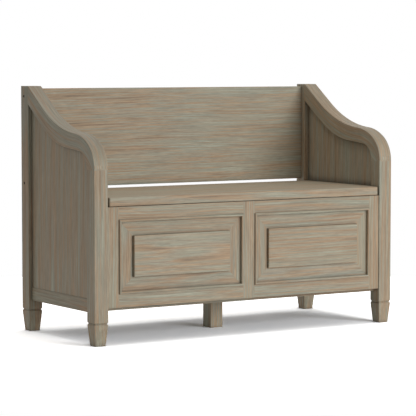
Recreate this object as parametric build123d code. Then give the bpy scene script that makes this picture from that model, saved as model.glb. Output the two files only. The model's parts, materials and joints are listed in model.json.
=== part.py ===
"""Entryway storage bench: two S-curved side frames, a panelled front, a backrest and a lift-up seat."""
import os
from math import cos, radians, sin

from build123d import *

# Size over the posts in millimetres: X runs to the right, Y to the rear, Z up from the floor.
WIDTH = 1070.0
DEPTH = 457.0
HEIGHT = 749.0

# Corner posts and their turned-in feet.
POST_WIDTH = 46.0
POST_DEPTH = 46.0
POST_ROUND = 2.0
POST_TOP_ROUND = 1.0
FOOT_HEIGHT = 61.5
FOOT_INSET = 6.0
FOOT_GROOVE_HEIGHT = 8.5
FOOT_GROOVE_DEPTH = 3.0

# Arm: a straight slope off the rear post, a hollow, a brow and a nose that drops onto the front post.
# The top edge and the under edge share the slope, and then bend on radii of their own.
ARM_SLOPE_ANGLE = 35.0
ARM_HOLLOW_ANGLE = 4.2
ARM_TOP_BROW_ANGLE = 32.4
ARM_TOP_HOLLOW_RADIUS = 409.0
ARM_TOP_BROW_RADIUS = 162.0
ARM_TOP_NOSE_RADIUS = 93.0
ARM_UNDER_BROW_ANGLE = 7.0
ARM_UNDER_HOLLOW_RADIUS = 300.0
ARM_UNDER_BROW_RADIUS = 1530.0
ARM_UNDER_NOSE_RADIUS = 48.0
ARM_ROUND = 2.0

# Side panel, held by a tongue in the posts, the arm and the side rail.
SIDE_PANEL_THICKNESS = 18.0
SIDE_PANEL_RECESS = 12.0
SIDE_PANEL_GAP = 1.0
TONGUE_THICKNESS = 8.0
TONGUE_DEPTH = 7.0
TONGUE_SIDE_PLAY = 0.1
TONGUE_END_PLAY = 1.0
SIDE_RAIL_BOTTOM = 95.0
SIDE_RAIL_HEIGHT = 40.0
SIDE_RAIL_THICKNESS = 20.0
SIDE_RAIL_ROUND = 2.0
TENON_LENGTH = 15.0
TENON_THICKNESS = 10.0
TENON_SHOULDER = 6.0
TENON_PLAY = 0.1
TENON_END_PLAY = 1.0

# Seat lid.
SEAT_HEIGHT = 431.0
LID_THICKNESS = 26.0
LID_SIDE_GAP = 4.5
LID_FRONT_SETBACK = 1.0
LID_CORNER_ROUND = 5.0
LID_EDGE_ROUND = 3.0

# Lid hinges: the leaves are let into the lid and the box back, the barrel stands behind them.
HINGE_LENGTH = 70.0
HINGE_INSET = 145.0
LEAF_THICKNESS = 1.6
LEAF_CLEARANCE = 0.3
LEAF_RECESS = 1.0
LEAF_PLAY = 0.2
FIXED_LEAF_WIDTH = 16.0
LID_LEAF_WIDTH = 28.0
BARREL_RADIUS = 5.0
BARREL_CLEARANCE = 0.3
KNUCKLE_COUNT = 5
KNUCKLE_GAP = 0.3
PIN_RADIUS = 2.5
PIN_PLAY = 0.05

# Panelled front of the storage box.
FRAME_SETBACK = 3.5
FRAME_THICKNESS = 20.0
FRAME_ROUND = 1.0
BOX_BOTTOM = 109.5
END_STILE_WIDTH = 37.5
CENTRE_STILE_WIDTH = 41.5
TOP_RAIL_HEIGHT = 37.5
BOTTOM_RAIL_HEIGHT = 39.5
FLANGE_THICKNESS = 6.0
FLANGE_SETBACK = 9.0
FLANGE_DEPTH = 9.0
FLANGE_PLAY = 0.1
FLANGE_END_PLAY = 1.0
BEAD_WIDTH = 7.0
BEAD_PROUD = 5.0
BEAD_ROUND = 2.5
BORDER_WIDTH = 41.0
BORDER_SETBACK = 4.5
FIELD_PROUD = 4.5
FIELD_ROUND = 1.2
FIELD_PLAY = 0.3
FIELD_END_PLAY = 1.5

# Rest of the storage box.
BOX_BACK_THICKNESS = 18.0
BOX_END_DROP = 1.0
FLOOR_THICKNESS = 9.0
FLOOR_PLAY = 1.0
CLEAT_SIZE = 20.0
CLEAT_DROP = 9.5
BEARER_WIDTH = 60.0
LEG_WIDTH = 44.0
LEG_DEPTH = 46.0
LEG_ROUND = 2.0
STUD_RADIUS = 4.0
STUD_PLAY = 0.1
STUD_IN_LEG = 40.0
STUD_IN_BEARER = 15.0
BUMPER_RADIUS = 6.0
BUMPER_CLEARANCE = 0.2
BUMPER_INSET = 45.0

# Backrest and the bolts that hold it to the rear posts.
BACKREST_GAP = 5.8
BACKREST_DROP = 7.5
BACKREST_THICKNESS = 18.0
BACKREST_REAR_SETBACK = 10.5
BACKREST_ROUND = 2.0
BACKREST_NOSE_ROUND = 6.0
BOLT_BELOW_TOP = 23.5
BOLT_ABOVE_BOTTOM = 16.5
BOLT_RADIUS = 3.0
BOLT_PLAY = 0.25
BOLT_HEAD_RADIUS = 4.2
BOLT_HEAD_HEIGHT = 5.0
BOLT_HEAD_SINK = 1.5
BOLT_SOCKET_RADIUS = 2.3
BOLT_SOCKET_DEPTH = 2.5
NUT_RADIUS = 5.0
NUT_LENGTH = 14.0
NUT_PLAY = 0.1
NUT_INSET = 30.0
BOLT_PAST_NUT = 6.0

# Dowels that join the glued frames.
DOWEL_RADIUS = 4.0
DOWEL_LENGTH = 36.0
DOWEL_PLAY = 0.1
DOWEL_END_PLAY = 1.0
ARM_DOWEL_SPACING = 20.0
ARM_DOWEL_BELOW_TOP = 38.0
ARM_DOWEL_INSET = 17.0
FRONT_DOWEL_INSET = 50.0
BACK_DOWEL_INSET = 60.0
BACK_DOWEL_SEAT = 9.0

# Planes and levels worked out from the sizes above.
SIDE = WIDTH / 2
POST_INNER = SIDE - POST_WIDTH
POST_CENTRE = SIDE - POST_WIDTH / 2
BEAD_OVERHANG = max(BEAD_PROUD - FRAME_SETBACK, 0)
FRONT = (BEAD_OVERHANG - DEPTH) / 2
REAR = FRONT + DEPTH
FRONT_POST_BACK = FRONT + POST_DEPTH
REAR_POST_FRONT = REAR - POST_DEPTH

PANEL_OUTER = SIDE - SIDE_PANEL_RECESS
PANEL_INNER = PANEL_OUTER - SIDE_PANEL_THICKNESS
PANEL_CENTRE = (PANEL_OUTER + PANEL_INNER) / 2
PANEL_GROOVE = TONGUE_DEPTH + TONGUE_END_PLAY
SIDE_RAIL_TOP = SIDE_RAIL_BOTTOM + SIDE_RAIL_HEIGHT

LID_SIDE = POST_INNER - LID_SIDE_GAP
LID_BOTTOM = SEAT_HEIGHT - LID_THICKNESS
LID_GAP = 2 * (LEAF_THICKNESS - LEAF_RECESS) + LEAF_CLEARANCE
BOX_TOP = LID_BOTTOM - LID_GAP
BOX_BACK_REAR = REAR_POST_FRONT
BOX_BACK_FRONT = BOX_BACK_REAR - BOX_BACK_THICKNESS
HINGE_Y = BOX_BACK_REAR + BARREL_CLEARANCE + BARREL_RADIUS
HINGE_Z = BOX_TOP + LID_GAP / 2
HINGE_SPACING = LID_SIDE - HINGE_INSET
HINGE_PLACES = {"left": -HINGE_SPACING, "centre": 0, "right": HINGE_SPACING}

FRAME_FRONT = FRONT + FRAME_SETBACK
FRAME_BACK = FRAME_FRONT + FRAME_THICKNESS
FRAME_CENTRE = (FRAME_FRONT + FRAME_BACK) / 2
FLANGE_FRONT = FRAME_FRONT + FLANGE_SETBACK
FLANGE_BACK = FLANGE_FRONT + FLANGE_THICKNESS
FLANGE_GROOVE = FLANGE_DEPTH + FLANGE_END_PLAY
OPENING_INNER = CENTRE_STILE_WIDTH / 2
OPENING_OUTER = POST_INNER - END_STILE_WIDTH
OPENING_BOTTOM = BOX_BOTTOM + BOTTOM_RAIL_HEIGHT
OPENING_TOP = BOX_TOP - TOP_RAIL_HEIGHT
MOULDING_WIDTH = BEAD_WIDTH + BORDER_WIDTH

CLEAT_BOTTOM = BOX_BOTTOM - CLEAT_DROP
CLEAT_TOP = CLEAT_BOTTOM + CLEAT_SIZE
BOX_MIDDLE = (FRAME_FRONT + BOX_BACK_REAR) / 2

BACKREST_BOTTOM = SEAT_HEIGHT + BACKREST_GAP
BACKREST_TOP = HEIGHT - BACKREST_DROP
BACKREST_REAR = REAR - BACKREST_REAR_SETBACK
BACKREST_FRONT = BACKREST_REAR - BACKREST_THICKNESS
BACKREST_CENTRE = (BACKREST_FRONT + BACKREST_REAR) / 2
BOLT_LEVELS = (BACKREST_TOP - BOLT_BELOW_TOP, BACKREST_BOTTOM + BOLT_ABOVE_BOTTOM)

DOWEL_SEAT = DOWEL_LENGTH / 2
SIDES = {"left": -1, "right": 1}


def block(x_low, x_high, y_low, y_high, z_low, z_high):
    """Square-edged board between two corners."""
    middle = Pos((x_low + x_high) / 2, (y_low + y_high) / 2, (z_low + z_high) / 2)
    return middle * Box(x_high - x_low, y_high - y_low, z_high - z_low)


def rod(radius, start, end):
    """Round bar between two points."""
    start, end = Vector(*start), Vector(*end)
    span = end - start
    return Plane(origin=start, z_dir=span) * Cylinder(
        radius, span.length, align=(Align.CENTER, Align.CENTER, Align.MIN)
    )


def mirrored(solid, side):
    """The right-hand piece, or its left-hand twin."""
    return solid if side > 0 else mirror(solid, about=Plane.YZ)


def s_curve(start, front, hollow_radius, brow_radius, brow_angle, nose_radius):
    """Slope, hollow, brow and nose in side view, from a point on the slope to a nose plumb at a line."""
    slope_sine = sin(radians(ARM_SLOPE_ANGLE))
    hollow_sine = sin(radians(ARM_HOLLOW_ANGLE))
    brow_sine = sin(radians(brow_angle))
    curved = hollow_radius * (slope_sine - hollow_sine)
    curved += brow_radius * (brow_sine - hollow_sine)
    curved += nose_radius * (1 - brow_sine)
    straight = (start.X - front - curved) / cos(radians(ARM_SLOPE_ANGLE))
    slope = Line(start - ARM_HEADING * POST_DEPTH, start + ARM_HEADING * straight)
    hollow = JernArc(slope @ 1, slope % 1, hollow_radius, ARM_HOLLOW_ANGLE - ARM_SLOPE_ANGLE)
    brow = JernArc(hollow @ 1, hollow % 1, brow_radius, brow_angle - ARM_HOLLOW_ANGLE)
    nose = JernArc(brow @ 1, brow % 1, nose_radius, 90 - brow_angle)
    return [slope, hollow, brow, nose]


def top_edge():
    """The arm's top edge, from the rear post's top to the front of the bench."""
    return s_curve(
        ARM_START, FRONT,
        ARM_TOP_HOLLOW_RADIUS, ARM_TOP_BROW_RADIUS, ARM_TOP_BROW_ANGLE, ARM_TOP_NOSE_RADIUS,
    )


def under_edge(drop):
    """The arm's under edge, moved square to itself towards the seat by a drop."""
    inward = Vector(-ARM_HEADING.Y, ARM_HEADING.X)
    return s_curve(
        ARM_START + inward * (POST_DEPTH + drop), FRONT_POST_BACK + drop,
        ARM_UNDER_HOLLOW_RADIUS + drop, ARM_UNDER_BROW_RADIUS - drop,
        ARM_UNDER_BROW_ANGLE, ARM_UNDER_NOSE_RADIUS - drop,
    )


def below_edge(edge, x_low, x_high):
    """Slab of everything below an arm edge, between two planes across the bench."""
    high, low = edge[0] @ 0, edge[-1] @ 1
    rest = Polyline(low, (low.X, 0), (high.X, 0), high)
    outline = make_face([*edge, rest])
    return Pos(x_low, 0, 0) * extrude(Plane.YZ * outline, x_high - x_low)


ARM_HEADING = Vector(-cos(radians(ARM_SLOPE_ANGLE)), -sin(radians(ARM_SLOPE_ANGLE)))
ARM_START = Vector(REAR_POST_FRONT, HEIGHT)
ARM_FOOT = (top_edge()[-1] @ 1).Y


def panel_pocket():
    """Groove that takes the side panel's tongue, cut from all four pieces around it."""
    half = TONGUE_THICKNESS / 2 + TONGUE_SIDE_PLAY
    x_low, x_high = PANEL_CENTRE - half, PANEL_CENTRE + half
    return below_edge(under_edge(-PANEL_GROOVE), x_low, x_high) & block(
        x_low, x_high,
        FRONT_POST_BACK - PANEL_GROOVE, REAR_POST_FRONT + PANEL_GROOVE,
        SIDE_RAIL_TOP - PANEL_GROOVE, HEIGHT,
    )


def side_tenon(y_low, y_high, play):
    """Tenon of the side rail, or its mortise when it is given some play."""
    middle = PANEL_INNER + SIDE_RAIL_THICKNESS / 2
    half = TENON_THICKNESS / 2 + play
    return block(
        middle - half, middle + half, y_low, y_high,
        SIDE_RAIL_BOTTOM + TENON_SHOULDER - play,
        SIDE_RAIL_TOP - PANEL_GROOVE - TENON_SHOULDER + play,
    )


def arm_dowels(hole):
    """Dowels of the arm's two butt joints, or their holes."""
    radius = DOWEL_RADIUS + DOWEL_PLAY * hole
    reach = DOWEL_SEAT + DOWEL_END_PLAY * hole
    level = HEIGHT - ARM_DOWEL_BELOW_TOP
    across = FRONT + ARM_DOWEL_INSET
    dowels = []
    for step in (-ARM_DOWEL_SPACING / 2, ARM_DOWEL_SPACING / 2):
        x = POST_CENTRE + step
        dowels.append(rod(radius, (x, REAR_POST_FRONT - reach, level), (x, REAR_POST_FRONT + reach, level)))
        dowels.append(rod(radius, (x, across, ARM_FOOT - reach), (x, across, ARM_FOOT + reach)))
    return dowels


def front_dowels(hole):
    """Dowels between the front frame and a front post, or their holes."""
    radius = DOWEL_RADIUS + DOWEL_PLAY * hole
    reach = DOWEL_SEAT + DOWEL_END_PLAY * hole
    levels = (BOX_BOTTOM + FRONT_DOWEL_INSET, (BOX_BOTTOM + BOX_TOP) / 2, BOX_TOP - FRONT_DOWEL_INSET)
    return [
        rod(radius, (POST_INNER - reach, FRAME_CENTRE, z), (POST_INNER + reach, FRAME_CENTRE, z))
        for z in levels
    ]


def back_dowels(hole):
    """Dowels between the box back and a box end, or their holes."""
    radius = DOWEL_RADIUS + DOWEL_PLAY * hole
    play = DOWEL_END_PLAY * hole
    y = (BOX_BACK_FRONT + BOX_BACK_REAR) / 2
    inner = POST_INNER + BACK_DOWEL_SEAT - DOWEL_LENGTH - play
    outer = POST_INNER + BACK_DOWEL_SEAT + play
    levels = (BOX_BOTTOM + BACK_DOWEL_INSET, BOX_TOP - BACK_DOWEL_INSET)
    return [rod(radius, (inner, y, z), (outer, y, z)) for z in levels]


def backrest_bolts():
    """Socket-head bolts through a rear post into the backrest's end."""
    seat = SIDE - BOLT_HEAD_SINK - BOLT_HEAD_HEIGHT
    tip = POST_INNER - NUT_INSET - BOLT_PAST_NUT
    bolts = []
    for z in BOLT_LEVELS:
        head_top = (SIDE - BOLT_HEAD_SINK, BACKREST_CENTRE, z)
        bolt = rod(BOLT_RADIUS, (tip, BACKREST_CENTRE, z), (seat, BACKREST_CENTRE, z))
        bolt += rod(BOLT_HEAD_RADIUS, (seat, BACKREST_CENTRE, z), head_top)
        socket = Plane(origin=head_top, z_dir=(-1, 0, 0)) * RegularPolygon(BOLT_SOCKET_RADIUS, 6)
        bolts.append(bolt - extrude(socket, BOLT_SOCKET_DEPTH))
    return bolts


def bolt_holes():
    """Clearance holes and counterbores for the backrest bolts."""
    seat = SIDE - BOLT_HEAD_SINK - BOLT_HEAD_HEIGHT
    tip = POST_INNER - NUT_INSET - BOLT_PAST_NUT - BOLT_PLAY
    holes = []
    for z in BOLT_LEVELS:
        holes.append(rod(BOLT_RADIUS + BOLT_PLAY, (tip, BACKREST_CENTRE, z), (seat, BACKREST_CENTRE, z)))
        face = (SIDE, BACKREST_CENTRE, z)
        holes.append(rod(BOLT_HEAD_RADIUS + BOLT_PLAY, (seat, BACKREST_CENTRE, z), face))
    return holes


def barrel_nuts(hole):
    """Cross dowels that the bolts screw into, let in from the backrest's rear, or their holes."""
    radius = NUT_RADIUS + NUT_PLAY * hole
    x = POST_INNER - NUT_INSET
    return [
        rod(radius, (x, BACKREST_REAR - NUT_LENGTH, z), (x, BACKREST_REAR, z))
        for z in BOLT_LEVELS
    ]


def foot():
    """Tapered foot with a V-groove between it and the post."""
    neck = FOOT_HEIGHT + FOOT_GROOVE_HEIGHT / 2
    levels = {
        0: FOOT_INSET,
        FOOT_HEIGHT: 0,
        neck: FOOT_GROOVE_DEPTH,
        FOOT_HEIGHT + FOOT_GROOVE_HEIGHT: 0,
    }
    sections = [
        Pos(0, 0, z) * RectangleRounded(POST_WIDTH - 2 * inset, POST_DEPTH - 2 * inset, POST_ROUND)
        for z, inset in levels.items()
    ]
    return loft(sections, ruled=True)


def post(top):
    """Plain post on its foot, standing at the origin."""
    shaft_bottom = FOOT_HEIGHT + FOOT_GROOVE_HEIGHT
    section = Pos(0, 0, shaft_bottom) * RectangleRounded(POST_WIDTH, POST_DEPTH, POST_ROUND)
    return foot() + extrude(section, top - shaft_bottom)


def front_post():
    """Right front post, cut for the panel, the side rail, the arm and the front frame."""
    solid = Pos(POST_CENTRE, FRONT + POST_DEPTH / 2, 0) * post(ARM_FOOT)
    end = FRONT_POST_BACK - TENON_LENGTH - TENON_END_PLAY
    solid -= panel_pocket()
    solid -= side_tenon(end, FRONT_POST_BACK, TENON_PLAY)
    return solid - arm_dowels(True) - front_dowels(True)


def rear_post():
    """Right rear post, cut for the panel, the side rail, the arm and the backrest bolts."""
    plain = post(HEIGHT)
    plain = fillet(plain.faces().sort_by(Axis.Z)[-1].edges(), POST_TOP_ROUND)
    solid = Pos(POST_CENTRE, REAR - POST_DEPTH / 2, 0) * plain
    end = REAR_POST_FRONT + TENON_LENGTH + TENON_END_PLAY
    solid -= panel_pocket()
    solid -= side_tenon(REAR_POST_FRONT, end, TENON_PLAY)
    return solid - arm_dowels(True) - bolt_holes()


def arm_rail():
    """Right arm: an S-curve that runs flush from the rear post's top to the front post."""
    solid = below_edge(top_edge(), POST_INNER, SIDE) - below_edge(under_edge(0), POST_INNER, SIDE)
    solid &= block(POST_INNER, SIDE, FRONT, REAR_POST_FRONT, ARM_FOOT, HEIGHT)
    butts = [
        *solid.faces().sort_by(Axis.Y)[-1].edges(),
        *solid.faces().sort_by(Axis.Z)[0].edges(),
    ]
    long_edges = [
        edge
        for edge in solid.faces().filter_by(Axis.X).edges()
        if all(edge.center() != butt.center() for butt in butts)
    ]
    return fillet(long_edges, ARM_ROUND) - panel_pocket() - arm_dowels(True)


def side_panel():
    """Right side panel with its tongue."""
    board = below_edge(under_edge(SIDE_PANEL_GAP), PANEL_INNER, PANEL_OUTER) & block(
        PANEL_INNER, PANEL_OUTER, FRONT_POST_BACK, REAR_POST_FRONT, SIDE_RAIL_TOP, HEIGHT
    )
    x_low, x_high = PANEL_CENTRE - TONGUE_THICKNESS / 2, PANEL_CENTRE + TONGUE_THICKNESS / 2
    tongue = below_edge(under_edge(-TONGUE_DEPTH), x_low, x_high) & block(
        x_low, x_high,
        FRONT_POST_BACK - TONGUE_DEPTH, REAR_POST_FRONT + TONGUE_DEPTH,
        SIDE_RAIL_TOP - TONGUE_DEPTH, HEIGHT,
    )
    return board + tongue


def side_rail():
    """Right bottom rail, grooved for the panel and tenoned into both posts."""
    solid = block(
        PANEL_INNER, PANEL_INNER + SIDE_RAIL_THICKNESS,
        FRONT_POST_BACK, REAR_POST_FRONT, SIDE_RAIL_BOTTOM, SIDE_RAIL_TOP,
    )
    outer_edges = solid.faces().sort_by(Axis.X)[-1].edges().filter_by(Axis.Y)
    solid = fillet(outer_edges, SIDE_RAIL_ROUND) - panel_pocket()
    solid += side_tenon(FRONT_POST_BACK - TENON_LENGTH, FRONT_POST_BACK, 0)
    return solid + side_tenon(REAR_POST_FRONT, REAR_POST_FRONT + TENON_LENGTH, 0)


def box_end():
    """Right end of the storage box, lining the side panel flush with the posts."""
    board = block(
        POST_INNER, PANEL_INNER, FRONT_POST_BACK, REAR_POST_FRONT,
        BOX_BOTTOM, SEAT_HEIGHT - BOX_END_DROP,
    )
    return board - back_dowels(True)


def box_back():
    """Plain back of the storage box, just in front of the rear posts, let in for the hinges."""
    board = block(-POST_INNER, POST_INNER, BOX_BACK_FRONT, BOX_BACK_REAR, BOX_BOTTOM, BOX_TOP)
    board -= leaf_recesses(BOX_TOP - LEAF_RECESS, FIXED_LEAF_WIDTH)
    for side in SIDES.values():
        board -= [mirrored(hole, side) for hole in back_dowels(True)]
    return board


def backrest():
    """Backrest board between the rear posts, rounded more at the lower front edge to clear the lifted lid."""
    board = block(
        -POST_INNER, POST_INNER, BACKREST_FRONT, BACKREST_REAR, BACKREST_BOTTOM, BACKREST_TOP
    )
    nose = (0, BACKREST_FRONT, BACKREST_BOTTOM)
    board = fillet(board.edges().filter_by(Axis.X).sort_by_distance(nose)[1:], BACKREST_ROUND)
    board = fillet(board.edges().filter_by(Axis.X).sort_by_distance(nose)[0], BACKREST_NOSE_ROUND)
    for side in SIDES.values():
        board -= [mirrored(hole, side) for hole in bolt_holes() + barrel_nuts(True)]
    return board


def flange_groove(x_low, x_high, z_low, z_high):
    """Groove at the depth of the raised panels' flange."""
    return block(x_low, x_high, FLANGE_FRONT - FLANGE_PLAY, FLANGE_BACK + FLANGE_PLAY, z_low, z_high)


def end_stile():
    """Right stile of the front frame, grooved for the rails and the raised panel."""
    board = block(OPENING_OUTER, POST_INNER, FRAME_FRONT, FRAME_BACK, BOX_BOTTOM, BOX_TOP)
    groove = flange_groove(OPENING_OUTER, OPENING_OUTER + FLANGE_GROOVE, BOX_BOTTOM, BOX_TOP)
    return board - groove - front_dowels(True)


def centre_stile():
    """Stile between the two raised panels, grooved on both edges."""
    board = block(-OPENING_INNER, OPENING_INNER, FRAME_FRONT, FRAME_BACK, BOX_BOTTOM, BOX_TOP)
    board -= flange_groove(OPENING_INNER - FLANGE_GROOVE, OPENING_INNER, BOX_BOTTOM, BOX_TOP)
    return board - flange_groove(-OPENING_INNER, FLANGE_GROOVE - OPENING_INNER, BOX_BOTTOM, BOX_TOP)


def frame_rail(z_low, z_high, groove_low, groove_high):
    """Right-hand rail of the front frame, with stub tenons in the stiles' grooves."""
    board = block(OPENING_INNER, OPENING_OUTER, FRAME_FRONT, FRAME_BACK, z_low, z_high)
    x_low, x_high = OPENING_INNER - FLANGE_DEPTH, OPENING_OUTER + FLANGE_DEPTH
    board += block(x_low, x_high, FLANGE_FRONT, FLANGE_BACK, z_low, z_high)
    return board - flange_groove(x_low, x_high, groove_low, groove_high)


def top_rail():
    """Right top rail of the front frame."""
    return frame_rail(OPENING_TOP, BOX_TOP, OPENING_TOP, OPENING_TOP + FLANGE_GROOVE)


def bottom_rail():
    """Right bottom rail of the front frame, with its lower front edge eased."""
    solid = frame_rail(BOX_BOTTOM, OPENING_BOTTOM, OPENING_BOTTOM - FLANGE_GROOVE, OPENING_BOTTOM)
    front_edges = solid.faces().sort_by(Axis.Y)[0].edges().filter_by(Axis.X)
    return fillet(front_edges.sort_by(Axis.Z)[0], FRAME_ROUND)


def raised_panel():
    """Right raised panel: a field on a thin flange that floats in the frame's grooves."""
    flange = block(
        OPENING_INNER - FLANGE_DEPTH, OPENING_OUTER + FLANGE_DEPTH, FLANGE_FRONT, FLANGE_BACK,
        OPENING_BOTTOM - FLANGE_DEPTH, OPENING_TOP + FLANGE_DEPTH,
    )
    end, side = MOULDING_WIDTH + FIELD_END_PLAY, MOULDING_WIDTH + FIELD_PLAY
    field = block(
        OPENING_INNER + end, OPENING_OUTER - end, FRAME_FRONT - FIELD_PROUD, FLANGE_FRONT,
        OPENING_BOTTOM + side, OPENING_TOP - side,
    )
    field = fillet(field.faces().sort_by(Axis.Y)[0].edges(), FIELD_ROUND)
    return flange + field


def moulding(length):
    """Mitred strip, a rounded bead on a flat border: X along it, Y into the panel, Z out to the front."""
    bead_top = FLANGE_SETBACK + BEAD_PROUD
    border_top = FLANGE_SETBACK - BORDER_SETBACK
    profile = Polyline(
        (0, 0), (0, bead_top), (BEAD_WIDTH, bead_top), (BEAD_WIDTH, border_top),
        (MOULDING_WIDTH, border_top), (MOULDING_WIDTH, 0), close=True,
    )
    section = make_face(profile)
    corners = [v for v in section.vertices() if v.Y == max(w.Y for w in section.vertices())]
    strip = extrude(Plane.YZ * fillet(corners, BEAD_ROUND), length)
    mitre = Polyline(
        (0, 0), (length, 0), (length - MOULDING_WIDTH, MOULDING_WIDTH),
        (MOULDING_WIDTH, MOULDING_WIDTH), close=True,
    )
    return strip & extrude(make_face(mitre), bead_top)


def panel_mouldings():
    """The four strips around the right raised panel, by the edge that they line."""
    wide = OPENING_OUTER - OPENING_INNER
    tall = OPENING_TOP - OPENING_BOTTOM
    runs = {
        "bottom": (OPENING_INNER, OPENING_BOTTOM, (1, 0, 0), wide),
        "outer": (OPENING_OUTER, OPENING_BOTTOM, (0, 0, 1), tall),
        "top": (OPENING_OUTER, OPENING_TOP, (-1, 0, 0), wide),
        "inner": (OPENING_INNER, OPENING_TOP, (0, 0, -1), tall),
    }
    return {
        name: Plane(origin=(x, FLANGE_FRONT, z), x_dir=run, z_dir=(0, -1, 0)) * moulding(length)
        for name, (x, z, run, length) in runs.items()
    }


def floor_pieces():
    """Floor board, the cleats and bearer under it, and the centre leg with its stud."""
    inner_front, inner_back = FRAME_BACK + CLEAT_SIZE, BOX_BACK_FRONT - CLEAT_SIZE
    stud_bottom = CLEAT_BOTTOM - STUD_IN_LEG
    stud_top = CLEAT_BOTTOM + STUD_IN_BEARER
    stud_hole = rod(STUD_RADIUS + STUD_PLAY, (0, BOX_MIDDLE, stud_bottom), (0, BOX_MIDDLE, stud_top))
    bearer = block(
        -BEARER_WIDTH / 2, BEARER_WIDTH / 2, inner_front, inner_back, CLEAT_BOTTOM, CLEAT_TOP
    )
    leg = block(
        -LEG_WIDTH / 2, LEG_WIDTH / 2, BOX_MIDDLE - LEG_DEPTH / 2, BOX_MIDDLE + LEG_DEPTH / 2,
        0, CLEAT_BOTTOM,
    )
    pieces = {
        "floor_panel": block(
            -POST_INNER + FLOOR_PLAY, POST_INNER - FLOOR_PLAY,
            FRAME_BACK + FLOOR_PLAY, BOX_BACK_FRONT - FLOOR_PLAY,
            CLEAT_TOP, CLEAT_TOP + FLOOR_THICKNESS,
        ),
        "front_floor_cleat": block(
            -POST_INNER, POST_INNER, FRAME_BACK, inner_front, CLEAT_BOTTOM, CLEAT_TOP
        ),
        "rear_floor_cleat": block(
            -POST_INNER, POST_INNER, inner_back, BOX_BACK_FRONT, CLEAT_BOTTOM, CLEAT_TOP
        ),
        "floor_bearer": bearer - stud_hole,
        "centre_leg": fillet(leg.edges().filter_by(Axis.Z), LEG_ROUND) - stud_hole,
        "centre_leg_stud": rod(STUD_RADIUS, (0, BOX_MIDDLE, stud_bottom), (0, BOX_MIDDLE, stud_top)),
    }
    for name, side in SIDES.items():
        cleat = block(
            POST_INNER - CLEAT_SIZE, POST_INNER, inner_front, inner_back, CLEAT_BOTTOM, CLEAT_TOP
        )
        pieces[f"{name}_floor_cleat"] = mirrored(cleat, side)
    return pieces


def seat_lid():
    """Lift-up seat, with eased edges and corners, let in for the hinges."""
    board = block(-LID_SIDE, LID_SIDE, FRONT + LID_FRONT_SETBACK, BOX_BACK_REAR, LID_BOTTOM, SEAT_HEIGHT)
    board = fillet(board.edges().filter_by(Axis.Z), LID_CORNER_ROUND)
    board = fillet(board.faces().sort_by(Axis.Z)[-1].edges(), LID_EDGE_ROUND)
    front = board.faces().sort_by(Axis.Z)[0].edges().sort_by(Axis.Y)[0]
    return fillet(front, LID_EDGE_ROUND) - leaf_recesses(LID_BOTTOM, LID_LEAF_WIDTH)


def lid_bumpers():
    """Rubber stops on the front rails, under the lid's corners."""
    x = POST_INNER - BUMPER_INSET
    top = LID_BOTTOM - BUMPER_CLEARANCE
    bumper = rod(BUMPER_RADIUS, (x, FRAME_CENTRE, BOX_TOP), (x, FRAME_CENTRE, top))
    return [mirrored(bumper, side) for side in SIDES.values()]


def leaf_recesses(z_low, width):
    """Shallow seats for the three hinges' leaves, open at the rear."""
    half = HINGE_LENGTH / 2 + LEAF_PLAY
    y_low = BOX_BACK_REAR - width - LEAF_PLAY
    return [
        block(x - half, x + half, y_low, BOX_BACK_REAR, z_low, z_low + LEAF_RECESS)
        for x in HINGE_PLACES.values()
    ]


def hinge_leaf(z_low, width, first_knuckle):
    """One leaf of a hinge at the middle of the bench, with every other knuckle of the barrel."""
    half = HINGE_LENGTH / 2
    z_high = z_low + LEAF_THICKNESS
    pitch = (HINGE_LENGTH + KNUCKLE_GAP) / KNUCKLE_COUNT
    leaf = block(-half, half, BOX_BACK_REAR - width, BOX_BACK_REAR, z_low, z_high)
    for index in range(first_knuckle, KNUCKLE_COUNT, 2):
        x_low = index * pitch - half
        x_high = x_low + pitch - KNUCKLE_GAP
        leaf += block(x_low, x_high, BOX_BACK_REAR, HINGE_Y, z_low, z_high)
        leaf += rod(BARREL_RADIUS, (x_low, HINGE_Y, HINGE_Z), (x_high, HINGE_Y, HINGE_Z))
    return leaf - rod(PIN_RADIUS + PIN_PLAY, (-half, HINGE_Y, HINGE_Z), (half, HINGE_Y, HINGE_Z))


def hinges():
    """The lid's three hinges, each a leaf on the box, a leaf on the lid and a pin."""
    half = HINGE_LENGTH / 2
    fixed = hinge_leaf(BOX_TOP - LEAF_RECESS, FIXED_LEAF_WIDTH, 0)
    moving = hinge_leaf(LID_BOTTOM + LEAF_RECESS - LEAF_THICKNESS, LID_LEAF_WIDTH, 1)
    pin = rod(PIN_RADIUS, (-half, HINGE_Y, HINGE_Z), (half, HINGE_Y, HINGE_Z))
    pieces = {}
    for name, x in HINGE_PLACES.items():
        move = Pos(x, 0, 0)
        pieces[f"{name}_hinge_fixed_leaf"] = move * fixed
        pieces[f"{name}_hinge_lid_leaf"] = move * moving
        pieces[f"{name}_hinge_pin"] = move * pin
    return pieces


def handed_pieces():
    """Pieces that come in a left and a right, all modelled on the right."""
    pieces = {
        "front_post": front_post(),
        "rear_post": rear_post(),
        "arm_rail": arm_rail(),
        "side_panel": side_panel(),
        "side_rail": side_rail(),
        "box_end": box_end(),
        "front_stile": end_stile(),
        "front_top_rail": top_rail(),
        "front_bottom_rail": bottom_rail(),
        "raised_panel": raised_panel(),
    }
    for edge, strip in panel_mouldings().items():
        pieces[f"panel_{edge}_moulding"] = strip
    return pieces


def fastener_groups():
    """Groups of like fasteners, as lists of separate solids on both sides of the bench."""
    right = {
        "arm_dowels": arm_dowels(False),
        "front_frame_dowels": front_dowels(False),
        "box_back_dowels": back_dowels(False),
        "backrest_bolts": backrest_bolts(),
        "backrest_barrel_nuts": [
            nut - bolt_holes() for nut in barrel_nuts(False)
        ],
    }
    return {
        name: [mirrored(solid, side) for side in SIDES.values() for solid in solids]
        for name, solids in right.items()
    }


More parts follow.
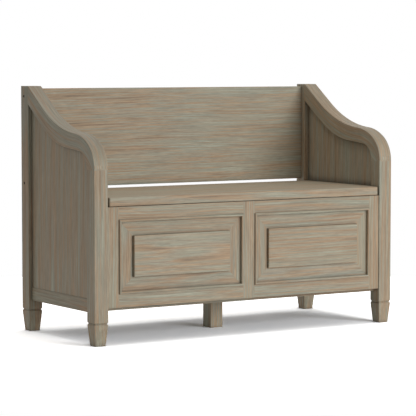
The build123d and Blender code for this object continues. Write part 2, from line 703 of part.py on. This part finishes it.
def bench():
    """Every piece of the bench, by node name."""
    nodes = {
        f"{name}_{piece}": mirrored(solid, side)
        for piece, solid in handed_pieces().items()
        for name, side in SIDES.items()
    }
    nodes["front_centre_stile"] = centre_stile()
    nodes["box_back"] = box_back()
    nodes["backrest"] = backrest()
    nodes["seat_lid"] = seat_lid()
    nodes |= floor_pieces()
    nodes |= hinges()
    nodes["lid_bumpers"] = Compound(lid_bumpers())
    nodes |= {name: Compound(solids) for name, solids in fastener_groups().items()}
    return nodes


os.makedirs("parts", exist_ok=True)
for node, shape in bench().items():
    export_step(shape, f"parts/{node}.step")
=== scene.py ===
"""Looks of the storage bench: weathered wood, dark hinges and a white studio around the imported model."""

import json
import math
import random

import bmesh
import bpy
from mathutils import Euler, Matrix, Vector


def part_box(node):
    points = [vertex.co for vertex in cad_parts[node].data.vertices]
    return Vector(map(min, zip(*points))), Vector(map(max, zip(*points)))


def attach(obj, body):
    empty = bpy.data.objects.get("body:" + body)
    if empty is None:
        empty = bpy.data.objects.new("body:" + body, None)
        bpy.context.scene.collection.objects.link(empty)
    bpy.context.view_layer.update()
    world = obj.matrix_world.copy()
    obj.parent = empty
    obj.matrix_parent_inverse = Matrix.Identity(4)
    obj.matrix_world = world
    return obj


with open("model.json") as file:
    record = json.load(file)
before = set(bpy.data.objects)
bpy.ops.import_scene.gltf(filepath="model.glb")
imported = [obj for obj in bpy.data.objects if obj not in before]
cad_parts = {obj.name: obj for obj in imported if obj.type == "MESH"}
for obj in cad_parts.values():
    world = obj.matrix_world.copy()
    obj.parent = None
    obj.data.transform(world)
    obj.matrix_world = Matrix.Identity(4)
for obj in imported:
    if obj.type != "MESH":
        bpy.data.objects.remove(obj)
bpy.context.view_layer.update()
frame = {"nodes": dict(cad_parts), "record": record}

# Camera, fitted to the bench's corners in the photograph: metres, radians, pixels.
IMAGE_SIZE = 416
CAMERA_PLACE = (-3.3423, -5.27695, 0.8233)
CAMERA_YAW = 0.564
CAMERA_PITCH = -0.0726
FOCAL_PIXELS = 2014.09
SENSOR_WIDTH = 36.0

# Studio: a soft key from the front right, a soft light overhead and an even surround.
AIM = (0.0, 0.0, 0.40)
KEY_PLACE = (1.5, -3.7, 1.05)
KEY_SIZE = 1.9
KEY_POWER = 86.0
TOP_PLACE = (0.0, 0.1, 3.2)
TOP_SIZE = 2.0
TOP_POWER = 27.0
SURROUND = 0.25
WHITE = 1.0

# Floor: its shade for the light, its shade for the camera in the open and its painted shadow colour towards
# the camera under the bench, and the reach of that painted contact shadow with the shares of open sky at
# which it is full and gone.
FLOOR_RADIUS = 1.6
FLOOR_SIDES = 96
FLOOR_SHADE = (0.8, 0.8, 0.8)
FLOOR_TO_CAMERA = (3.4, 3.4, 3.4)
FLOOR_PAINTED_SHADOW = (1.70, 1.81, 1.99)
FLOOR_SHADOW_REACH = 0.25
FLOOR_SHADOW_FULL = 0.28
FLOOR_SHADOW_GONE = 0.84

# Weathered wood, as linear colours from the darkest streak to the palest.
WOOD_RAMP = (
    (0.28, (0.255, 0.195, 0.138)),
    (0.41, (0.390, 0.280, 0.180)),
    (0.50, (0.355, 0.300, 0.222)),
    (0.59, (0.335, 0.315, 0.240)),
    (0.72, (0.400, 0.395, 0.310)),
)
TAN_TINT = (1.038, 0.985, 0.942)
GREEN_TINT = (0.970, 1.014, 1.022)

# Noise in the wood: scale along the grain and twice across it, per metre, then detail and roughness.
WANDER = ((2.2, 8.0, 8.0), 2.0, 0.5)
BANDS = ((2.2, 46.0, 46.0), 3.0, 0.55)
STREAKS = ((3.2, 165.0, 165.0), 4.0, 0.6)
FLECKS = ((7.0, 260.0, 260.0), 2.0, 0.5)
FIBRES = ((36.0, 800.0, 800.0), 2.0, 0.5)
TINTS = ((4.5, 170.0, 170.0), 2.0, 0.5)
RUBBED_PATCHES = ((14.0, 60.0, 60.0), 3.0, 0.5)

# The part of each noise's range that counts, because its ends are rare.
STREAK_RANGE = (0.3, 0.7)
FLECK_RANGE = (0.28, 0.72)
FIBRE_RANGE = (0.25, 0.75)
TINT_RANGE = (0.32, 0.68)
PATCH_RANGE = (0.38, 0.62)

# How far lines wander across the grain, in metres, and what each layer adds to tone, shade and height.
WANDER_WIDTH = (0.0, 0.016, 0.016)
TONE_SHIFT = -0.12
BAND_WEIGHT = 0.54
STREAK_WEIGHT = 0.58
RING_WEIGHT = 0.12
FIBRE_SHADE = (0.84, 1.16)
FLECK_SHADE = (0.83, 1.17)
FIBRE_HEIGHT = 0.5
STREAK_HEIGHT = 0.35
RING_HEIGHT = 0.15
WOOD_ROUGHNESS = (0.66, 0.50)
WOOD_SPECULAR = 0.35
WOOD_BUMP = {"Strength": 0.35, "Distance": 0.0006}

# Growth rings: their wave, their stretch along the grain and their heart's distance from a board's middle.
RINGS = {"Scale": 38.0, "Distortion": 3.2, "Detail": 2.0, "Detail Scale": 0.7}
RING_STRETCH = (0.06, 1.0, 1.0)
RING_HEART = (0.05, 0.13)

# Each board's own cut: how far along the grain it may start, in metres, and its tilt, in degrees.
GRAIN_START = 40.0
GRAIN_TILT = 1.6

# Rubbed edges: their colour, the share of it where they are worn most, and where the wear starts and is full.
WORN_EDGE = (0.43, 0.36, 0.27)
WEAR = 0.22
WEAR_WIDTH = 0.0022
WEAR_FACING = (0.98, 0.80)
PATCH_WEAR = (0.15, 1.0)
EDGE_ROUND = 0.0008
BEVEL_SAMPLES = 4

# Painted shade: wood colour darkened in crevices, recesses and joints by how little open sky they see, and on
# the arms' hand rests where they face up.
SKY_SAMPLES = 8
CREVICE = {"reach": 0.012, "low": 0.30, "shade": 0.55}
PANEL_CREVICE = {"reach": 0.030, "low": 0.50, "shade": 0.35}
CREVICE_GONE = 0.92
HAND_REST_SHADE = {"left_arm_rail": 0.74, "right_arm_rail": 0.88}
HAND_REST_FACING = (0.2, 0.8)

# Range of depth of colour and of warmth from board to board.
BOARD_DEPTH = (0.97, 1.03)
BOARD_WARMTH = (-0.01, 0.03)

# Top edge of an arm, from the rear post: a straight slope, then turns from one angle to another at a radius.
ARM_TURNS = ((35.0, 4.2, 0.409), (4.2, 32.4, 0.162), (32.4, 90.0, 0.093))
TURN_STEPS = 6

# Looks of the other slots: two mottled tones, roughness, metal or not, fine noise and bump depth.
EVEN_NOISE = ((1500.0, 1500.0, 1500.0), 2.0, 0.5)
BRUSHED_NOISE = ((60.0, 2400.0, 2400.0), 2.0, 0.5)
MOTTLE = ((90.0, 90.0, 90.0), 4.0, 0.6)
MOTTLE_RANGE = (0.35, 0.65)
FINE_RANGE = (0.3, 0.7)
FINE_LOOKS = {
    "dowel_wood": (((0.60, 0.45, 0.29), (0.66, 0.51, 0.34)), 0.6, 0.0, BRUSHED_NOISE, 0.0003),
    "hinge_steel": (((0.20, 0.17, 0.14), (0.27, 0.23, 0.19)), 0.38, 1.0, BRUSHED_NOISE, 0.0001),
    "black_steel": (((0.010, 0.010, 0.010), (0.020, 0.019, 0.018)), 0.55, 0.0, EVEN_NOISE, 0.0001),
    "zinc_steel": (((0.55, 0.55, 0.53), (0.66, 0.66, 0.63)), 0.34, 1.0, BRUSHED_NOISE, 0.0001),
    "bumper_rubber": (((0.035, 0.033, 0.03), (0.055, 0.05, 0.045)), 0.8, 0.0, EVEN_NOISE, 0.0002),
}
ROUGHNESS_SPREAD = 0.08
FINE_BUMP = 0.3

# Screw heads on the hinge leaves: their top and the rim round their drive are shares of the radius.
SCREW_SIDES = 20
SCREW_RADIUS = 0.0026
SCREW_TOP = 0.9
SCREW_RIM = 0.55
SCREW_PROUD = 0.0001
SCREW_SPACING = 0.024
LEAF_PROUD = 0.0006
FIXED_LEAF_MIDDLE = 0.008
LID_LEAF_MIDDLE = 0.014

# Boards whose depth of colour and warmth stand out from the rest: their own tones, and on the left side also
# painted shade.
BOARD_TONES = {
    "backrest": (1.05, -0.010),
    "seat_lid": (1.02, 0.010),
    "left_raised_panel": (1.06, 0.010),
    "right_raised_panel": (0.98, 0.020),
    "right_front_top_rail": (0.92, 0.020),
    "right_panel_bottom_moulding": (1.04, -0.040),
    # Painted shade: the left side panel, rail and rear post are set warmer, the rail and post also darker, to
    # give that shaded side the colour of its shade.
    "left_side_panel": (0.98, 0.035),
    "right_side_panel": (1.05, -0.040),
    "left_side_rail": (0.82, 0.070),
    "left_front_post": (0.98, 0.008),
    "left_rear_post": (0.88, 0.030),
    "centre_leg": (1.16, -0.030),
    "front_floor_cleat": (0.80, 0.0),
}

# Direction of the grain, by words in the node's name. The first match counts.
GRAIN_WORDS = (
    ("side_rail", (0.0, 1.0, 0.0)),
    ("left_floor_cleat", (0.0, 1.0, 0.0)),
    ("right_floor_cleat", (0.0, 1.0, 0.0)),
    ("floor_bearer", (0.0, 1.0, 0.0)),
    ("post", (0.0, 0.0, 1.0)),
    ("stile", (0.0, 0.0, 1.0)),
    ("side_panel", (0.0, 0.0, 1.0)),
    ("box_end", (0.0, 0.0, 1.0)),
    ("outer_moulding", (0.0, 0.0, 1.0)),
    ("inner_moulding", (0.0, 0.0, 1.0)),
    ("centre_leg", (0.0, 0.0, 1.0)),
    ("", (1.0, 0.0, 0.0)),
)


class Graph:
    """Short way to add nodes to a tree: an input takes a plain value or another node's output."""

    def __init__(self, tree):
        self.tree = tree

    def add(self, kind, inputs=None, **settings):
        node = self.tree.nodes.new(kind)
        for name, value in settings.items():
            setattr(node, name, value)
        for socket, value in (inputs or {}).items():
            self.feed(node.inputs[socket], value)
        return node

    def feed(self, socket, value):
        if isinstance(value, bpy.types.NodeSocket):
            self.tree.links.new(value, socket)
        else:
            socket.default_value = value

    def math(self, operation, *values):
        inputs = dict(enumerate(values))
        return self.add("ShaderNodeMath", inputs, operation=operation).outputs[0]

    def vector(self, operation, *values):
        inputs = dict(enumerate(values))
        return self.add("ShaderNodeVectorMath", inputs, operation=operation)

    def stretch(self, vector, scale):
        return self.vector("MULTIPLY", vector, scale).outputs["Vector"]

    def noise(self, vector, scale, detail, roughness):
        inputs = {
            "Vector": self.stretch(vector, scale),
            "Scale": 1.0,
            "Detail": detail,
            "Roughness": roughness,
        }
        return self.add("ShaderNodeTexNoise", inputs)

    def blend(self, mode, factor, first, second):
        node = self.add("ShaderNodeMix", data_type="RGBA", blend_type=mode)
        self.feed(node.inputs["Factor"], factor)
        self.feed(node.inputs["A"], first)
        self.feed(node.inputs["B"], second)
        return node.outputs["Result"]

    def rescale(self, value, low, high, new_low, new_high):
        inputs = {"Value": value, "From Min": low, "From Max": high, "To Min": new_low, "To Max": new_high}
        return self.add("ShaderNodeMapRange", inputs).outputs["Result"]

    def open_sky(self, reach):
        return self.add("ShaderNodeAmbientOcclusion", {"Distance": reach}, samples=SKY_SAMPLES).outputs["AO"]


def colour(rgb):
    """Linear colour with full alpha."""
    return (*rgb, 1.0)


def fill_ramp(ramp, stops):
    """Sets a colour ramp's stops."""
    while len(ramp.elements) < len(stops):
        ramp.elements.new(0.5)
    for element, (position, rgb) in zip(ramp.elements, stops):
        element.position = position
        element.color = colour(rgb)


def grain_group():
    """Node group for weathered wood: from a place with X along the grain to colour, roughness and height."""
    tree = bpy.data.node_groups.new("weathered_grain", "ShaderNodeTree")
    tree.interface.new_socket("Vector", in_out="INPUT", socket_type="NodeSocketVector")
    tree.interface.new_socket("Color", in_out="OUTPUT", socket_type="NodeSocketColor")
    tree.interface.new_socket("Roughness", in_out="OUTPUT", socket_type="NodeSocketFloat")
    tree.interface.new_socket("Height", in_out="OUTPUT", socket_type="NodeSocketFloat")
    graph = Graph(tree)
    place = graph.add("NodeGroupInput").outputs["Vector"]

    wander = graph.noise(place, *WANDER)
    centred = graph.vector("SUBTRACT", wander.outputs["Color"], (0.5, 0.5, 0.5)).outputs["Vector"]
    shift = graph.stretch(centred, WANDER_WIDTH)
    place = graph.vector("ADD", place, shift).outputs["Vector"]

    bands = graph.noise(place, *BANDS).outputs["Fac"]
    streaks = graph.noise(place, *STREAKS).outputs["Fac"]
    flecks = graph.noise(place, *FLECKS).outputs["Fac"]
    fibres = graph.noise(place, *FIBRES).outputs["Fac"]
    tint = graph.noise(place, *TINTS).outputs["Fac"]
    rings = graph.add(
        "ShaderNodeTexWave",
        {"Vector": graph.stretch(place, RING_STRETCH), **RINGS},
        wave_type="RINGS",
        rings_direction="X",
    ).outputs["Fac"]

    tone = graph.math("MULTIPLY_ADD", bands, BAND_WEIGHT, TONE_SHIFT)
    tone = graph.math("MULTIPLY_ADD", streaks, STREAK_WEIGHT, tone)
    tone = graph.math("MULTIPLY_ADD", rings, RING_WEIGHT, tone)
    ramp = graph.add("ShaderNodeValToRGB", {"Fac": tone})
    fill_ramp(ramp.color_ramp, WOOD_RAMP)
    shade = graph.rescale(fibres, *FIBRE_RANGE, *FIBRE_SHADE)
    shade = graph.math("MULTIPLY", shade, graph.rescale(flecks, *FLECK_RANGE, *FLECK_SHADE))
    green = graph.rescale(tint, *TINT_RANGE, 0.0, 1.0)
    tinted = graph.blend("MIX", green, colour(TAN_TINT), colour(GREEN_TINT))
    tinted = graph.blend("MULTIPLY", 1.0, ramp.outputs["Color"], tinted)
    shaded = graph.vector("SCALE", tinted)
    graph.feed(shaded.inputs["Scale"], shade)

    height = graph.math("MULTIPLY", fibres, FIBRE_HEIGHT)
    height = graph.math("MULTIPLY_ADD", streaks, STREAK_HEIGHT, height)
    height = graph.math("MULTIPLY_ADD", rings, RING_HEIGHT, height)
    outputs = {
        "Color": shaded.outputs["Vector"],
        "Roughness": graph.rescale(streaks, *STREAK_RANGE, *WOOD_ROUGHNESS),
        "Height": height,
    }
    graph.add("NodeGroupOutput", outputs)
    return tree


def blank_material(name):
    """New node material and its graph, without the default shader."""
    material = bpy.data.materials.new(name)
    material.use_nodes = True
    material.node_tree.nodes.clear()
    return material, Graph(material.node_tree)


def grain_of(node):
    """Direction of the grain in a node."""
    return next(Vector(direction) for word, direction in GRAIN_WORDS if word in node)


def sine(degrees):
    """Sine of an angle in degrees."""
    return math.sin(math.radians(degrees))


def cosine(degrees):
    """Cosine of an angle in degrees."""
    return math.cos(math.radians(degrees))


def arm_edge(low, high):
    """Points along an arm's top edge, each with its Y, its Z and its distance from the rear post."""
    curved = sum(abs(radius * (sine(start) - sine(end))) for start, end, radius in ARM_TURNS)
    slope = ARM_TURNS[0][0]
    pieces = [(slope, (high[1] - low[1] - curved) / cosine(slope))]
    for start, end, radius in ARM_TURNS:
        step = (end - start) / TURN_STEPS
        length = radius * math.radians(abs(step))
        pieces += [(start + step * (k + 0.5), length) for k in range(TURN_STEPS)]
    points = [(high[1], high[2], 0.0)]
    for angle, length in pieces:
        y, z, gone = points[-1]
        y -= length * cosine(angle)
        z -= length * sine(angle)
        points.append((y, z, gone + length))
    return points


def curve_node(graph, value, points):
    """Float curve through points, given from high X to low X."""
    node = graph.add("ShaderNodeFloatCurve", {"Value": value})
    curve = node.mapping.curves[0]
    curve.points[0].location = points[-1]
    curve.points[-1].location = points[0]
    for point in points[1:-1]:
        curve.points.new(*point)
    node.mapping.update()
    return node.outputs["Value"]


def straightened(graph, node):
    """Places in an S-curved arm as if it were straight: X along its top edge, Z below it."""
    low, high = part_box(node)
    points = arm_edge(low, high)
    front, foot, total = points[-1]
    depth, drop = high[1] - front, high[2] - foot
    spans = [((y - front) / depth, (z - foot) / drop, gone / total) for y, z, gone in points]
    place = graph.add("ShaderNodeTexCoord").outputs["Object"]
    x, y, z = graph.add("ShaderNodeSeparateXYZ", {"Vector": place}).outputs
    across = graph.rescale(y, front, high[1], 0.0, 1.0)
    rise = curve_node(graph, across, [(run, level) for run, level, _ in spans])
    top = graph.rescale(rise, 0.0, 1.0, foot, high[2])
    share = curve_node(graph, across, [(run, gone) for run, _, gone in spans])
    along = graph.math("MULTIPLY", share, total)
    below = graph.math("SUBTRACT", top, z)
    return graph.add("ShaderNodeCombineXYZ", {"X": along, "Y": x, "Z": below}).outputs["Vector"]


def grain_mapping(graph, node, chance):
    """Places in a node, turned so that X runs along its grain, with the tree's heart at its own distance."""
    tilt = [math.radians(chance.uniform(-GRAIN_TILT, GRAIN_TILT)) for _ in range(2)]
    heart, angle = chance.uniform(*RING_HEART), chance.uniform(0.0, 2 * math.pi)
    start = Vector((chance.uniform(0.0, GRAIN_START), heart * math.cos(angle), heart * math.sin(angle)))
    if "arm_rail" in node:
        inputs = {"Vector": straightened(graph, node), "Location": start}
        return graph.add("ShaderNodeMapping", inputs).outputs["Vector"]
    turn = grain_of(node).rotation_difference(Vector((1.0, 0.0, 0.0))).to_matrix()
    turn = Euler((0.0, *tilt)).to_matrix() @ turn
    low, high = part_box(node)
    middle = turn @ ((Vector(low) + Vector(high)) / 2)
    inputs = {
        "Vector": graph.add("ShaderNodeTexCoord").outputs["Object"],
        "Location": start - middle,
        "Rotation": turn.to_euler(),
    }
    return graph.add("ShaderNodeMapping", inputs).outputs["Vector"]


def wood_material(node, grain):
    """Weathered wood for one board, with its own cut of the tree, its own tone, rubbed edges, and painted
    shade in crevices, on the hand rests and in the tones of the left side's boards.
    """
    chance = random.Random(node)
    material, graph = blank_material(f"weathered_wood.{node}")
    place = grain_mapping(graph, node, chance)
    wood = graph.add("ShaderNodeGroup", node_tree=grain)
    graph.feed(wood.inputs["Vector"], place)
    depth, warmth = chance.uniform(*BOARD_DEPTH), chance.uniform(*BOARD_WARMTH)
    # Board tones; for the left side's boards these are partly painted shade.
    depth, warmth = BOARD_TONES.get(node, (depth, warmth))
    board_tone_and_side_shade = (depth * (1 + warmth), depth, depth * (1 - warmth), 1.0)
    toned = graph.blend("MULTIPLY", 1.0, wood.outputs["Color"], board_tone_and_side_shade)

    wide = graph.add("ShaderNodeBevel", {"Radius": WEAR_WIDTH}, samples=BEVEL_SAMPLES)
    true_normal = graph.add("ShaderNodeNewGeometry").outputs["True Normal"]
    facing = graph.vector("DOT_PRODUCT", wide.outputs["Normal"], true_normal).outputs["Value"]
    rubbed = graph.rescale(facing, *WEAR_FACING, 0.0, WEAR)
    patches = graph.noise(place, *RUBBED_PATCHES).outputs["Fac"]
    rubbed = graph.math("MULTIPLY", rubbed, graph.rescale(patches, *PATCH_RANGE, *PATCH_WEAR))
    worn = graph.blend("MIX", rubbed, toned, colour(WORN_EDGE))
    # Painted shade: darker colour where little open sky is seen, in crevices, recesses and joints.
    crevice = PANEL_CREVICE if "side_panel" in node else CREVICE
    open_sky = graph.open_sky(crevice["reach"])
    shade = graph.rescale(open_sky, crevice["low"], CREVICE_GONE, crevice["shade"], 1.0)
    # Painted shade on the hand rests: darker colour where they face up, standing in for less light from
    # above.
    if node in HAND_REST_SHADE:
        upward = graph.add("ShaderNodeSeparateXYZ", {"Vector": true_normal}).outputs["Z"]
        painted_top_shade = graph.rescale(upward, *HAND_REST_FACING, 1.0, HAND_REST_SHADE[node])
        shade = graph.math("MULTIPLY", shade, painted_top_shade)
    painted_shade_colour = graph.vector("SCALE", worn)
    graph.feed(painted_shade_colour.inputs["Scale"], shade)

    soft = graph.add("ShaderNodeBevel", {"Radius": EDGE_ROUND}, samples=BEVEL_SAMPLES)
    bump = graph.add(
        "ShaderNodeBump",
        {**WOOD_BUMP, "Height": wood.outputs["Height"], "Normal": soft.outputs["Normal"]},
    )
    shader = graph.add(
        "ShaderNodeBsdfPrincipled",
        {
            "Base Color": painted_shade_colour.outputs["Vector"],
            "Roughness": wood.outputs["Roughness"],
            "Normal": bump.outputs["Normal"],
            "Specular IOR Level": WOOD_SPECULAR,
        },
    )
    graph.add("ShaderNodeOutputMaterial", {"Surface": shader.outputs["BSDF"]})
    return material


def fine_material(name, tones, roughness, metallic, fine_noise, bump_depth):
    """Metal, rubber or raw dowel wood: two mottled tones, varied roughness and a fine bump."""
    material, graph = blank_material(name)
    place = graph.add("ShaderNodeTexCoord").outputs["Object"]
    mottle = graph.noise(place, *MOTTLE).outputs["Fac"]
    fine = graph.noise(place, *fine_noise).outputs["Fac"]
    first, second = (colour(tone) for tone in tones)
    mixed = graph.blend("MIX", graph.rescale(mottle, *MOTTLE_RANGE, 0.0, 1.0), first, second)
    bump = graph.add("ShaderNodeBump", {"Strength": FINE_BUMP, "Distance": bump_depth, "Height": fine})
    smoothest, roughest = roughness - ROUGHNESS_SPREAD, roughness + ROUGHNESS_SPREAD
    shader = graph.add(
        "ShaderNodeBsdfPrincipled",
        {
            "Base Color": mixed,
            "Metallic": metallic,
            "Roughness": graph.rescale(fine, *FINE_RANGE, smoothest, roughest),
            "Normal": bump.outputs["Normal"],
        },
    )
    graph.add("ShaderNodeOutputMaterial", {"Surface": shader.outputs["BSDF"]})
    return material


def fine_materials():
    """Materials of the record's slots other than the weathered wood."""
    return {slot: fine_material(slot, *look) for slot, look in FINE_LOOKS.items()}


def screw_heads(name, body, centres, facing, material):
    """Flat screw heads with a round drive, in one mesh that rides a body and faces up or down."""
    form = bmesh.new()
    for centre in centres:
        place = Matrix.Translation(centre) @ Matrix.Diagonal((1.0, 1.0, facing, 1.0))
        made = bmesh.ops.create_cone(
            form, cap_ends=True, segments=SCREW_SIDES, depth=2 * SCREW_PROUD, matrix=place,
            radius1=SCREW_RADIUS, radius2=SCREW_TOP * SCREW_RADIUS,
        )
        faces = {face for vert in made["verts"] for face in vert.link_faces}
        front = max(faces, key=lambda face: face.calc_center_median().z * facing)
        bmesh.ops.inset_region(form, faces=[front], thickness=SCREW_RIM * SCREW_RADIUS)
        bmesh.ops.translate(form, verts=front.verts, vec=(0.0, 0.0, -SCREW_PROUD * facing))
    bmesh.ops.recalc_face_normals(form, faces=form.faces)
    mesh = bpy.data.meshes.new(name)
    form.to_mesh(mesh)
    form.free()
    mesh.materials.append(material)
    heads = bpy.data.objects.new(name, mesh)
    bpy.context.collection.objects.link(heads)
    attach(heads, body)


def hinge_screws(material):
    """Three screws in each leaf of each hinge."""
    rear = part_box("box_back")[1][1]
    levels = {
        "frame": (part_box("box_back")[1][2] + LEAF_PROUD, rear - FIXED_LEAF_MIDDLE, 1.0),
        "lid": (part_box("seat_lid")[0][2] - LEAF_PROUD, rear - LID_LEAF_MIDDLE, -1.0),
    }
    for body, (level, y, facing) in levels.items():
        centres = []
        for hinge in ("left", "centre", "right"):
            low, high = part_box(f"{hinge}_hinge_pin")
            middle = (low[0] + high[0]) / 2
            centres += [(middle + step * SCREW_SPACING, y, level) for step in (-1, 0, 1)]
        screw_heads(f"{body}_hinge_screws", body, centres, facing, material)


def dress_nodes():
    """Gives each CAD node the material of its slot in the record."""
    grain = grain_group()
    fine = fine_materials()
    hinge_screws(fine["hinge_steel"])
    for part in frame["record"]["subparts"]:
        node, slot = part["node"], part["material_slot"]
        mesh = frame["nodes"][node].data
        mesh.materials.clear()
        mesh.materials.append(fine.get(slot) or wood_material(node, grain))


def seen_by_camera(graph):
    """One where the camera looks, straight or by reflection, and nought for the light."""
    path = graph.add("ShaderNodeLightPath").outputs
    seen = graph.math("MAXIMUM", path["Is Camera Ray"], path["Is Glossy Ray"])
    return graph.math("MAXIMUM", seen, path["Is Transmission Ray"])


def make_floor():
    """Pale round floor, exposed to white towards the camera so that only the shadow under the bench shows,
    darkened there by a painted shadow where little open sky is seen.
    """
    mesh = bpy.data.meshes.new("floor")
    form = bmesh.new()
    bmesh.ops.create_circle(form, cap_ends=True, radius=FLOOR_RADIUS, segments=FLOOR_SIDES)
    form.to_mesh(mesh)
    form.free()
    floor = bpy.data.objects.new("floor", mesh)
    bpy.context.collection.objects.link(floor)
    material, graph = blank_material("floor")
    # Painted shadow: towards the camera the floor darkens under the bench where little open sky is seen.
    open_sky = graph.open_sky(FLOOR_SHADOW_REACH)
    lit = graph.rescale(open_sky, FLOOR_SHADOW_FULL, FLOOR_SHADOW_GONE, 0.0, 1.0)
    white = graph.blend("MIX", lit, colour(FLOOR_PAINTED_SHADOW), colour(FLOOR_TO_CAMERA))
    shade = graph.blend("MIX", seen_by_camera(graph), colour(FLOOR_SHADE), white)
    matt = graph.add("ShaderNodeBsdfDiffuse", {"Color": shade})
    graph.add("ShaderNodeOutputMaterial", {"Surface": matt.outputs[0]})
    mesh.materials.append(material)


def make_surround():
    """Even light from all round, white to the camera."""
    world = bpy.data.worlds.new("surround")
    bpy.context.scene.world = world
    world.use_nodes = True
    world.node_tree.nodes.clear()
    graph = Graph(world.node_tree)
    strength = graph.rescale(seen_by_camera(graph), 0.0, 1.0, SURROUND, WHITE)
    sky = graph.add("ShaderNodeBackground", {"Color": (1.0, 1.0, 1.0, 1.0), "Strength": strength})
    graph.add("ShaderNodeOutputWorld", {"Surface": sky.outputs[0]})


def area_light(name, place, aim, size, power):
    """Square soft light, turned towards a point."""
    lamp = bpy.data.lights.new(name, "AREA")
    lamp.size = size
    lamp.energy = power
    light = bpy.data.objects.new(name, lamp)
    light.location = place
    light.rotation_euler = (Vector(aim) - Vector(place)).to_track_quat("-Z", "Y").to_euler()
    bpy.context.collection.objects.link(light)


def make_camera():
    """Camera at the photograph's place."""
    data = bpy.data.cameras.new("photo_camera")
    data.sensor_width = SENSOR_WIDTH
    data.lens = FOCAL_PIXELS / IMAGE_SIZE * SENSOR_WIDTH
    camera = bpy.data.objects.new("photo_camera", data)
    camera.location = CAMERA_PLACE
    camera.rotation_euler = (math.pi / 2 + CAMERA_PITCH, 0.0, -CAMERA_YAW)
    bpy.context.collection.objects.link(camera)
    bpy.context.scene.camera = camera


dress_nodes()
make_floor()
make_surround()
area_light("key_light", KEY_PLACE, AIM, KEY_SIZE, KEY_POWER)
area_light("top_light", TOP_PLACE, AIM, TOP_SIZE, TOP_POWER)
make_camera()
bpy.context.scene.view_settings.view_transform = "Standard"
